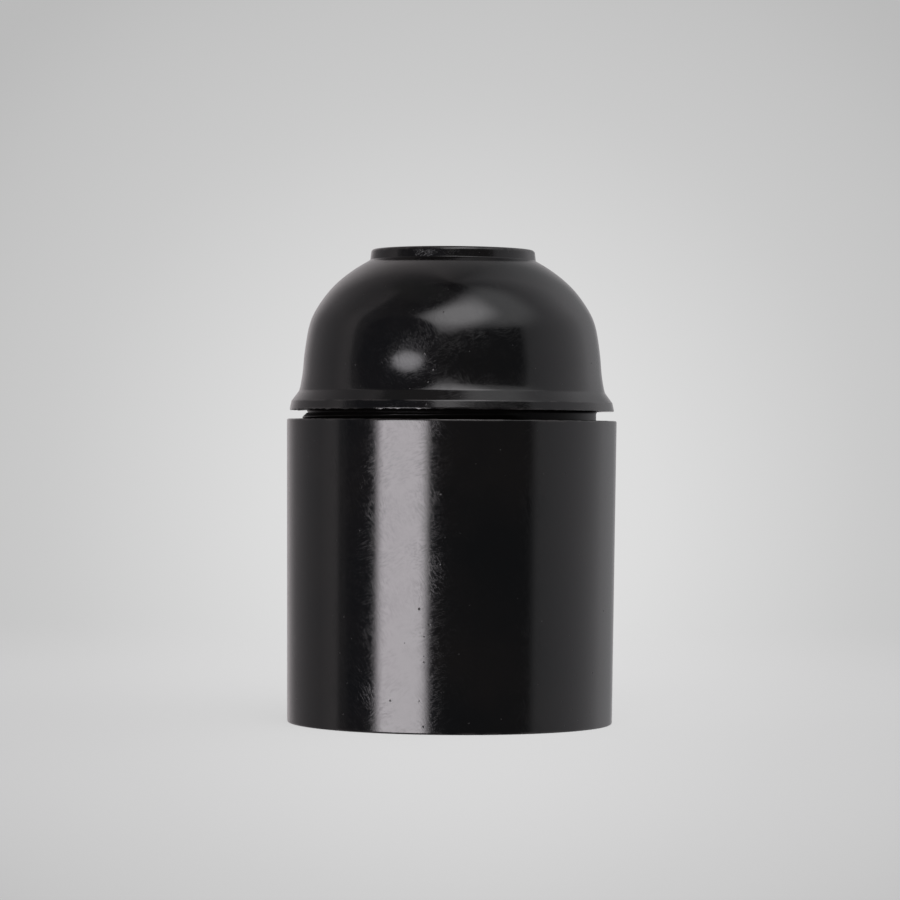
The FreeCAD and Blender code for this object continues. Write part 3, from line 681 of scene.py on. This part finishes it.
# Screw shell, rolled from sheet.
shell = {
    "sheet": 0.35, "crown": 13.35, "arc": 1.025, "pitch": 3.629, "bottom": 5.0, "top": 25.15,
    "band": 13.40, "lip": 1.6, "neck": 2.4, "flangeRadius": 15.5, "flangeBottom": 24.8,
    "notchRadius": 14.4, "notchHalf": 1.7, "row": 0.2, "columns": 240, "ease": 0.9,
    "sheetRound": 0.15, "flangeRound": 0.1, "mouthRound": 0.25, "rowGap": 0.3, "flangeGap": 0.25,
    "wallMargin": 0.01,
}


# Inner radius of the rolled thread at a distance from its crest.
def rolledRadius(distance, s):
    tilt = math.asin(s["pitch"] / (4 * s["arc"]))
    rise = s["arc"] * math.sin(tilt)
    depth = 2 * s["arc"] * (1 - math.cos(tilt))
    crest = s["crown"] - s["arc"] + np.sqrt(np.maximum(s["arc"] ** 2 - distance ** 2, 0))
    valleyAway = s["pitch"] / 2 - distance
    hollow = np.sqrt(np.maximum(s["arc"] ** 2 - valleyAway ** 2, 0))
    valley = s["crown"] - depth + s["arc"] - hollow
    return np.where(distance <= rise, crest, valley)


def shellOutline(s):
    outside = s["band"] + s["sheet"]
    bottom, top, flange = s["bottom"], s["top"], s["flangeBottom"]
    corners = [(s["band"], bottom, s["sheetRound"]), (outside, bottom, s["sheetRound"])]
    corners += [(outside, z) for z in np.arange(bottom + s["rowGap"], flange - s["flangeGap"],
                                                s["row"])]
    corners += [(outside, flange, s["sheetRound"]), (s["flangeRadius"], flange, s["flangeRound"]),
                (s["flangeRadius"], top, s["flangeRound"]), (s["band"], top, s["mouthRound"])]
    inner = np.arange(bottom + s["rowGap"], top - s["rowGap"], s["row"])[::-1]
    corners += [(s["band"], z) for z in inner]
    return roundedOutline(corners, arcSteps=4)


def shellShape(angle, radius, height):
    s = shell
    phase = s["bottom"] + s["pitch"] * angle / (2 * math.pi)
    distance = np.abs((height - phase + s["pitch"] / 2) % s["pitch"] - s["pitch"] / 2)
    rolled = rolledRadius(distance, s) - s["band"]
    lipEnd, neckStart = s["bottom"] + s["lip"], s["flangeBottom"] - s["neck"]
    low = smoothStep(lipEnd, lipEnd + s["ease"], height)
    high = 1 - smoothStep(neckStart - s["ease"], neckStart, height)
    wall = radius < s["band"] + s["sheet"] + s["wallMargin"]
    radius = np.where(wall, radius + rolled * low * high, radius)
    # notches in the flange for the ledge's two lugs
    inNotch = (np.abs(radius * np.cos(angle)) < s["notchHalf"]) & (radius > s["notchRadius"])
    radius = np.where(inNotch, s["notchRadius"], radius)
    return radius, height


screwShell = meshPiece("screwShell", [
    turnedGrid(shellOutline(shell), shell["columns"], shellShape),
], [metals["rolledBrass"]], sharpDeg=55)
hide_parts("thread_shell")
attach(screwShell, "skirt")
print("screw shell ready")


# Entry bush with its M10 x 1 pipe thread.
bush = {
    "radius": 6.49, "bottom": 45.609, "top": 56.909, "edge": 0.3, "bore": 4.46, "chamfer": 0.6,
    "anchorRadius": 7.39, "anchorTop": 52.709, "anchorHeight": 1.4, "pitch": 1.0, "depth": 0.5,
    "valley": 0.12, "crest": 0.94, "row": 0.09, "columns": 144, "round": 0.05, "topRound": 0.12,
}


def bushOutline(b):
    mouth = b["bore"] + b["chamfer"]
    anchorBottom = b["anchorTop"] - b["anchorHeight"]
    margin = b["chamfer"] * 0.1
    corners = [(mouth, b["bottom"], b["round"]),
               (b["radius"] - b["edge"], b["bottom"], b["round"]),
               (b["radius"], b["bottom"] + b["edge"], b["round"]),
               (b["radius"], anchorBottom), (b["anchorRadius"], anchorBottom),
               (b["anchorRadius"], b["anchorTop"]), (b["radius"], b["anchorTop"]),
               (b["radius"], b["top"], b["topRound"]), (mouth, b["top"], b["round"])]
    corners += [(b["bore"], z) for z in np.arange(b["top"] - margin, b["bottom"] + margin,
                                                  -b["row"])]
    return roundedOutline(corners, arcSteps=4)


def bushShape(angle, radius, height):
    b = bush
    onBore = np.abs(radius - b["bore"]) < touching
    half = b["pitch"] / 2
    phase = b["pitch"] * angle / (2 * math.pi)
    away = np.abs((height - phase + half) % b["pitch"] - half) / half
    groove = b["bore"] + b["depth"] * smoothStep(b["valley"], b["crest"], 1 - away)
    fromEnd = np.minimum(b["top"] - height, height - b["bottom"])
    cone = b["bore"] + b["chamfer"] - fromEnd
    return np.where(onBore, np.maximum(groove, cone), radius), height


entryBush = meshPiece("entryBush", [
    turnedGrid(bushOutline(bush), bush["columns"], bushShape),
], [metals["tappedSteel"]], sharpDeg=50)
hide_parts("entry_bush")
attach(entryBush, "dome")
print("bush ready")


# Pieces that keep their solid's shape.
nodeFinish = {
    "insert_body": steatite,
    "centre_contact": metals["springBronze"], "side_contact": metals["springBronze"],
    "line_rivet": metals["stampedBrass"], "neutral_rivet": metals["stampedBrass"],
    "line_terminal": metals["stampedBrass"], "neutral_terminal": metals["stampedBrass"],
    "line_clamp": metals["zincSteel"], "neutral_clamp": metals["zincSteel"],
    "line_spring_washer": metals["zincSteel"], "neutral_spring_washer": metals["zincSteel"],
    "line_screw": metals["zincSteel"], "neutral_screw": metals["zincSteel"],
    "lock_screw": metals["zincSteel"],
}
for nodeName, material in nodeFinish.items():
    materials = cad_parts[nodeName].data.materials
    materials.clear()
    materials.append(material)
print("finishes on", len(nodeFinish), "solids")


# Studio backdrop: its fall is grey by distance from the bright centre, on a sphere of directions.
backdrop = {
    "centre": (0.004, 1.0, -0.018),
    "fall": [(0.0, 0.735), (0.05, 0.725), (0.086, 0.650), (0.114, 0.592), (0.153, 0.540),
             (0.178, 0.495), (0.22, 0.49), (0.45, 0.60), (2.0, 0.66)],
    "catchShare": 0.27, "floorGlow": 0.30, "floorAlbedo": 0.75, "floorRadius": 0.30,
    "floorSides": 96, "floorDrop": 0.00002, "fadeFrom": 0.08, "fadeTo": 0.26,
}


# A pale disc that keeps the object's shadow and lets most of the backdrop through. From below it
# is clear.
def makeFloor(b):
    material = bpy.data.materials.new("paleFloor")
    material.use_nodes = True
    tree = material.node_tree
    tree.nodes.clear()
    lit = place(tree, "BsdfDiffuse", {"Color": (b["floorAlbedo"],) * 3 + (1,)})
    glow = place(tree, "Emission", {"Color": (b["floorGlow"],) * 3 + (1,), "Strength": 1.0})
    both = place(tree, "AddShader", {0: (lit, 0), 1: (glow, 0)})
    clear = place(tree, "BsdfTransparent")
    coords = place(tree, "TexCoord")
    reach = place(tree, "VectorMath", {0: (coords, "Object")}, operation="LENGTH")
    share = ease(tree, (reach, "Value"), b["fadeFrom"], b["fadeTo"], b["catchShare"], 0.0)
    geometry = place(tree, "NewGeometry")
    share = calc(tree, "MULTIPLY", share, calc(tree, "SUBTRACT", 1.0, (geometry, "Backfacing")))
    sided = place(tree, "MixShader", {0: share, 1: (clear, 0), 2: (both, 0)})
    output = place(tree, "OutputMaterial")
    tree.links.new(sided.outputs[0], output.inputs["Surface"])
    turns = [2 * math.pi * k / b["floorSides"] for k in range(b["floorSides"])]
    ring = [(b["floorRadius"] * math.cos(a), b["floorRadius"] * math.sin(a), 0) for a in turns]
    mesh = bpy.data.meshes.new("floor")
    mesh.from_pydata(ring, [], [list(range(len(ring)))])
    mesh.materials.append(material)
    floor = bpy.data.objects.new("floor", mesh)
    bpy.context.scene.collection.objects.link(floor)
    floor.location.z = -b["floorDrop"]
    floor.visible_glossy = False
    floor.visible_diffuse = False
    floor.visible_shadow = False


# Brightness of the room by direction in degrees, where white paper is 1. Azimuth 0 is towards the
# camera, left is negative, and the panels lie over each other in this order.
room = {
    "round": [(-180, 0.50, 0.48, 0.49), (-160, 0.62, 0.58, 0.59), (-140, 0.32, 0.30, 0.31),
              (-118, 0.26, 0.25, 0.26), (-104, 0.27, 0.26, 0.27), (-92, 0.39, 0.37, 0.38),
              (-86.5, 0.42, 0.40, 0.41), (-84, 0.15, 0.15, 0.16), (-60, 0.12, 0.12, 0.13),
              (-10, 0.075, 0.075, 0.085), (52, 0.068, 0.068, 0.078), (57.5, 0.35, 0.35, 0.36),
              (90, 0.48, 0.47, 0.49), (130, 0.66, 0.65, 0.67), (156, 0.38, 0.38, 0.39),
              (180, 0.50, 0.48, 0.49)],
    "up": [(-90, 0.6), (0, 1.0), (30, 1.0), (60, 0.75), (90, 0.45)],
    "panels": {
        "sideGlow": {"round": True, "middle": (50, 50), "half": (50, 34), "lean": 0.1,
                     "blur": (0.45, 1.05), "colour": (1.0, 1.0, 1.02), "strength": 0.86},
        "topWindow": {"round": True, "middle": (8, 46), "half": (52, 32), "lean": 0.25,
                      "blur": (0.30, 0.95), "colour": (1.0, 0.98, 1.0), "strength": 2.6},
        "ceilingDark": {"round": True, "middle": (-60, 71), "half": (75, 11), "lean": 0.06,
                        "blur": (0.5, 1.2), "colour": (1, 1, 1), "strength": 0.13},
        "darkCurtain": {"round": True, "middle": (-43, 5), "half": (36, 35), "lean": 0.0,
                        "blur": (0.94, 1.04), "colour": (0.9, 0.95, 1.1), "strength": 0.085},
        "darkDoor": {"round": False, "left": 5, "right": 59, "low": -30, "high": 23.8,
                     "side": 4, "end": 1.5, "colour": (0.95, 1.0, 1.05), "strength": 0.075},
        "doorFoot": {"round": False, "left": -10, "right": 12, "low": -30, "high": 21.0,
                     "side": 2, "end": 1.3, "colour": (0.95, 1.0, 1.05), "strength": 0.075},
        "lampTop": {"round": True, "middle": (-34.5, 7), "half": (14, 7.4), "lean": 0.0,
                    "blur": (0.6, 1.15), "colour": (1.0, 0.98, 1.02), "strength": 3.6},
        "longLamp": {"round": False, "left": -51.8, "right": -17, "low": -14, "high": 4,
                     "side": 4.2, "end": 2.5, "colour": (1.0, 0.95, 0.99), "strength": 7.2},
    },
}


def edgeMask(tree, value, limit, soft, rising):
    low = calc(tree, "SUBTRACT", limit, soft)
    high = calc(tree, "ADD", limit, soft)
    return ease(tree, value, low, high, 0.0 if rising else 1.0, 1.0 if rising else 0.0)


def makeSquarePanelGroup():
    group, enter, leave = newGroup("squarePanel", [
        ("Azimuth", "Float", 0.0), ("Elevation", "Float", 0.0), ("Left", "Float", 0.0),
        ("Right", "Float", 0.0), ("Low", "Float", 0.0), ("High", "Float", 0.0),
        ("Side", "Float", 1.0), ("End", "Float", 1.0),
    ], [("Mask", "Float")])
    edges = [("Azimuth", "Left", "Side", True), ("Azimuth", "Right", "Side", False),
             ("Elevation", "Low", "End", True), ("Elevation", "High", "End", False)]
    masks = [edgeMask(group, (enter, axis), (enter, limit), (enter, soft), rising)
             for axis, limit, soft, rising in edges]
    mask = masks[0]
    for other in masks[1:]:
        mask = calc(group, "MULTIPLY", mask, other)
    plug(group, leave, {"Mask": mask})
    return group


def makeRoundPanelGroup():
    group, enter, leave = newGroup("roundPanel", [
        ("Azimuth", "Float", 0.0), ("Elevation", "Float", 0.0), ("Across", "Float", 0.0),
        ("Up", "Float", 0.0), ("Half Width", "Float", 1.0), ("Half Height", "Float", 1.0),
        ("Lean", "Float", 0.0), ("Inner", "Float", 0.9), ("Outer", "Float", 1.1),
    ], [("Mask", "Float")])
    aside = calc(group, "SUBTRACT", (enter, "Azimuth"), (enter, "Across"))
    above = calc(group, "SUBTRACT", (enter, "Elevation"), (enter, "Up"))
    above = calc(group, "SUBTRACT", above, calc(group, "MULTIPLY", aside, (enter, "Lean")))
    wide = calc(group, "DIVIDE", aside, (enter, "Half Width"))
    tall = calc(group, "DIVIDE", above, (enter, "Half Height"))
    away = calc(group, "SQRT", calc(group, "ADD", calc(group, "MULTIPLY", wide, wide),
                                    calc(group, "MULTIPLY", tall, tall)))
    mask = ease(group, away, (enter, "Inner"), (enter, "Outer"), 1.0, 0.0)
    plug(group, leave, {"Mask": mask})
    return group


def ramp(tree, value, stops):
    node = place(tree, "ValToRGB", {"Fac": value})
    node.color_ramp.interpolation = "LINEAR"
    elements = node.color_ramp.elements
    while len(elements) < len(stops):
        elements.new(0.5)
    for element, (position, colour) in zip(elements, stops):
        element.position = position
        element.color = (*colour, 1)
    return node, "Color"


def makeWorld(r, b):
    world = bpy.data.worlds.new("studio")
    bpy.context.scene.world = world
    world.use_nodes = True
    tree = world.node_tree
    tree.nodes.clear()
    coords = place(tree, "TexCoord")
    axes = place(tree, "SeparateXYZ", {0: (coords, "Generated")})
    toCamera = calc(tree, "MULTIPLY", (axes, "Y"), -1.0)
    degrees = 180 / math.pi
    azimuth = calc(tree, "MULTIPLY", calc(tree, "ARCTAN2", (axes, "X"), toCamera), degrees)
    elevation = calc(tree, "MULTIPLY", calc(tree, "ARCSINE", (axes, "Z")), degrees)
    aroundShare = calc(tree, "ADD", calc(tree, "DIVIDE", azimuth, 360.0), 0.5)
    upShare = calc(tree, "ADD", calc(tree, "DIVIDE", elevation, 180.0), 0.5)
    around = ramp(tree, aroundShare, [(a / 360 + 0.5, colour) for a, *colour in r["round"]])
    up = ramp(tree, upShare, [(e / 180 + 0.5, (v,) * 3) for e, v in r["up"]])
    total = blendColour(tree, 1.0, around, up, "MULTIPLY")
    squarePanel, roundPanel = makeSquarePanelGroup(), makeRoundPanelGroup()
    for p in r["panels"].values():
        values = {"Azimuth": azimuth, "Elevation": elevation}
        if p["round"]:
            values.update(zip(("Across", "Up", "Half Width", "Half Height", "Inner", "Outer"),
                              p["middle"] + p["half"] + p["blur"]), Lean=p["lean"])
        else:
            values.update({side.capitalize(): p[side]
                           for side in ("left", "right", "low", "high", "side", "end")})
        mask = useGroup(tree, roundPanel if p["round"] else squarePanel, values)
        colour = tuple(c * p["strength"] for c in p["colour"]) + (1,)
        total = blendColour(tree, (mask, 0), total, colour)
    # the plain backdrop that the camera sees, brightest behind the object
    away = place(tree, "VectorMath", {0: (coords, "Generated"), 1: b["centre"]},
                 operation="DISTANCE")
    farShare = calc(tree, "MULTIPLY", (away, "Value"), 0.5)
    plain = ramp(tree, farShare, [(d / 2, (v,) * 3) for d, v in b["fall"]])
    light = place(tree, "LightPath")
    seen = calc(tree, "MAXIMUM", (light, "Is Camera Ray"), (light, "Is Transmission Ray"))
    total = blendColour(tree, seen, total, plain)
    background = place(tree, "Background", {"Color": total, "Strength": 1.0})
    output = place(tree, "OutputWorld")
    tree.links.new(background.outputs[0], output.inputs["Surface"])


makeFloor(backdrop)
makeWorld(room, backdrop)
print("studio ready")


# Camera: a long lens below the height of the cap's rim, turned a little. Distances are in mm.
photoView = {
    "lens": 144.0, "sensor": 36.0, "distance": 437.1, "eyeHeight": 34.0, "aimHeight": 33.04,
    "aimLeft": 0.19, "rollDeg": 0.45, "nearest": 20.0, "farthest": 60000.0,
}


def makeCamera(v):
    data = bpy.data.cameras.new("photoCamera")
    data.lens = v["lens"]
    data.sensor_width = v["sensor"]
    data.clip_start = v["nearest"] * mm
    data.clip_end = v["farthest"] * mm
    camera = bpy.data.objects.new("photoCamera", data)
    bpy.context.scene.collection.objects.link(camera)
    camera.location = Vector((-v["aimLeft"], -v["distance"], v["eyeHeight"])) * mm
    aim = Vector((-v["aimLeft"], 0, v["aimHeight"])) * mm - camera.location
    camera.rotation_mode = "QUATERNION"
    roll = Quaternion((0, 0, 1), math.radians(v["rollDeg"]))
    camera.rotation_quaternion = aim.to_track_quat("-Z", "Y") @ roll
    bpy.context.scene.camera = camera


makeCamera(photoView)
bpy.context.scene.view_settings.view_transform = "Standard"

print("scene ready")
